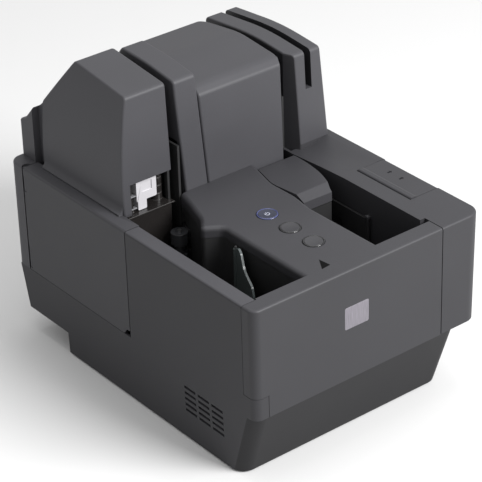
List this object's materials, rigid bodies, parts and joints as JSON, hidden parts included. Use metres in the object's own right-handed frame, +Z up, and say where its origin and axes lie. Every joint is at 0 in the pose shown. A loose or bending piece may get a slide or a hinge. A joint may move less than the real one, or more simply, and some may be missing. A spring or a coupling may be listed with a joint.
{
  "type": "cheque scanner",
  "caption": "Desk-top cheque transport: cheques stand in a feed pocket, turn round a U track past scan heads and an imprinter into an output pocket; a tower column swipes cards.",
  "frame": {"origin": "middle of the footprint, on the table", "axes": "+Z up, -Y towards the user at the two pockets, +X towards the feed pocket and card slot"},
  "size_m": [0.23, 0.318, 0.2625],
  "materials": {
    "case_plastic": "fine textured charcoal moulding",
    "dark_plastic": "black moulding",
    "base_plastic": "dark charcoal moulding",
    "cartridge_plastic": "white moulding",
    "flap_plastic": "light grey moulding",
    "button_plastic": "satin grey key",
    "steel": "bright shafts and pins",
    "plate_steel": "black painted sheet",
    "rubber": "roller rubber",
    "idler_plastic": "grey acetal",
    "board": "circuit board",
    "glass": "scan window",
    "badge": "bare satin plate"
  },
  "bodies": {
    "case": {"base_case": "base_plastic", "front_cover": "case_plastic", "core_wall": "dark_plastic", "feed_housing": "dark_plastic", "block_cover": "case_plastic", "block_strip": "case_plastic", "inner_guide": "dark_plastic", "rear_guide": "dark_plastic", "chassis_plate": "plate_steel", "rear_cover": "case_plastic", "case_pins": "steel", "drive_belts": "rubber", "motor": "steel", "main_board": "board", "usb_socket": "steel", "power_inlet": "dark_plastic", "inner_sensor": "dark_plastic", "inner_glass": "glass", "ink_head": "steel", "button_board": "board", "badge_plate": "badge", "rubber_feet": "rubber", "case_screws": "steel"},
    "left_unit": {"left_cover": "case_plastic", "left_guide": "dark_plastic", "left_idler_pin": "steel", "cartridge_cradle": "dark_plastic"},
    "cartridge": {"ink_cartridge": "cartridge_plastic"},
    "right_unit": {"right_cover": "case_plastic", "right_guide": "dark_plastic", "right_pins": "steel", "outer_sensor": "dark_plastic", "outer_glass": "glass", "card_head": "steel"},
    "lever": {"release_lever": "case_plastic"},
    "feed_lid": {"feed_cover": "case_plastic"},
    "presser": {"presser_plate": "dark_plastic"},
    "flap": {"stacker_flap": "flap_plastic"},
    "retard": {"retard_tyres": "rubber", "retard_shaft": "steel"},
    "motor_spindle": {"motor_pulley": "steel"},
    "power_key": {"power_button": "button_plastic"},
    "menu_key": {"menu_button": "button_plastic"},
    "eject_key": {"eject_button": "button_plastic"},
    "right_roller": {"right_tyres": "rubber", "right_shaft": "steel"},
    "rear_roller": {"rear_tyres": "rubber", "rear_shaft": "steel"},
    "left_roller": {"left_tyres": "rubber", "left_shaft": "steel"},
    "exit_roller": {"exit_tyres": "rubber", "exit_shaft": "steel"},
    "feed_roller": {"feed_tyres": "rubber", "feed_shaft": "steel"},
    "pick_roller": {"pick_tyres": "rubber", "pick_shaft": "steel"},
    "right_idler_roller": {"right_idler": "idler_plastic"},
    "rear_idler_roller": {"rear_idler": "idler_plastic"},
    "left_idler_roller": {"left_idler": "idler_plastic"},
    "exit_idler_roller": {"exit_idler": "idler_plastic"}
  },
  "joints": [
    {"name": "left_unit_swing", "type": "hinge", "parent": "case", "child": "left_unit", "pos_m": [-0.1115, 0.1375, 0.11], "axis": [0, 0, 1], "range_deg": [-50, 0]},
    {"name": "right_unit_swing", "type": "hinge", "parent": "case", "child": "right_unit", "pos_m": [0.1115, 0.1375, 0.11], "axis": [0, 0, 1], "range_deg": [0, 50]},
    {"name": "lever_turn", "type": "hinge", "parent": "right_unit", "child": "lever", "pos_m": [0.1114, -0.077, 0.1544], "axis": [0, 1, 0], "range_deg": [0, 35], "stiffness_Nm_per_rad": 0.05},
    {"name": "feed_lid_turn", "type": "hinge", "parent": "case", "child": "feed_lid", "pos_m": [0.047, 0.0145, 0.1502], "axis": [1, 0, 0], "range_deg": [-45, 0]},
    {"name": "presser_swing", "type": "hinge", "parent": "right_unit", "child": "presser", "pos_m": [0.0663, -0.079, 0.118], "axis": [0, 0, 1], "range_deg": [0, 9], "stiffness_Nm_per_rad": 0.01},
    {"name": "flap_swing", "type": "hinge", "parent": "case", "child": "flap", "pos_m": [-0.0546, -0.063, 0.12], "axis": [0, 0, 1], "range_deg": [0, 16], "stiffness_Nm_per_rad": 0.01},
    {"name": "cartridge_slide", "type": "slide", "parent": "left_unit", "child": "cartridge", "axis": [0, -1, 0], "range_m": [0, 0.04]},
    {"name": "motor_spin", "type": "hinge", "parent": "case", "child": "motor_spindle", "pos_m": [-0.001, -0.027, 0.088], "axis": [0, 0, 1], "continuous": true},
    {"name": "right_roller_spin", "type": "hinge", "parent": "case", "child": "right_roller", "pos_m": [0.05805, 0.046, 0.118], "axis": [0, 0, 1], "continuous": true},
    {"name": "rear_roller_spin", "type": "hinge", "parent": "case", "child": "rear_roller", "pos_m": [0.0085, 0.12905, 0.118], "axis": [0, 0, 1], "continuous": true},
    {"name": "left_roller_spin", "type": "hinge", "parent": "case", "child": "left_roller", "pos_m": [-0.04105, 0.046, 0.118], "axis": [0, 0, 1], "continuous": true},
    {"name": "exit_roller_spin", "type": "hinge", "parent": "case", "child": "exit_roller", "pos_m": [-0.04105, 0.007, 0.118], "axis": [0, 0, 1], "continuous": true},
    {"name": "feed_roller_spin", "type": "hinge", "parent": "case", "child": "feed_roller", "pos_m": [0.0603, 0.001, 0.118], "axis": [0, 0, 1], "continuous": true},
    {"name": "pick_roller_spin", "type": "hinge", "parent": "case", "child": "pick_roller", "pos_m": [0.0495, -0.037, 0.118], "axis": [0, 0, 1], "continuous": true},
    {"name": "retard_spin", "type": "hinge", "parent": "right_unit", "child": "retard", "pos_m": [0.0757, 0.001, 0.118], "axis": [0, 0, 1], "continuous": true},
    {"name": "right_idler_spin", "type": "hinge", "parent": "right_unit", "child": "right_idler_roller", "pos_m": [0.07345, 0.046, 0.118], "axis": [0, 0, 1], "continuous": true},
    {"name": "rear_idler_spin", "type": "hinge", "parent": "case", "child": "rear_idler_roller", "pos_m": [0.0085, 0.14445, 0.118], "axis": [0, 0, 1], "continuous": true},
    {"name": "left_idler_spin", "type": "hinge", "parent": "left_unit", "child": "left_idler_roller", "pos_m": [-0.05645, 0.046, 0.118], "axis": [0, 0, 1], "continuous": true},
    {"name": "exit_idler_spin", "type": "hinge", "parent": "case", "child": "exit_idler_roller", "pos_m": [-0.05645, 0.007, 0.118], "axis": [0, 0, 1], "continuous": true},
    {"name": "power_key_press", "type": "slide", "parent": "case", "child": "power_key", "axis": [0, 0, -1], "range_m": [0, 0.0008], "stiffness_N_per_m": 400},
    {"name": "menu_key_press", "type": "slide", "parent": "case", "child": "menu_key", "axis": [0, 0, -1], "range_m": [0, 0.0008], "stiffness_N_per_m": 400},
    {"name": "eject_key_press", "type": "slide", "parent": "case", "child": "eject_key", "axis": [0, 0, -1], "range_m": [0, 0.0008], "stiffness_N_per_m": 400}
  ],
  "couplings": [
    {"joint": "right_roller_spin", "follows": "motor_spin", "ratio": 1},
    {"joint": "rear_roller_spin", "follows": "motor_spin", "ratio": 1},
    {"joint": "left_roller_spin", "follows": "motor_spin", "ratio": 1},
    {"joint": "exit_roller_spin", "follows": "motor_spin", "ratio": 1},
    {"joint": "feed_roller_spin", "follows": "motor_spin", "ratio": 1},
    {"joint": "pick_roller_spin", "follows": "motor_spin", "ratio": 1}
  ]
}
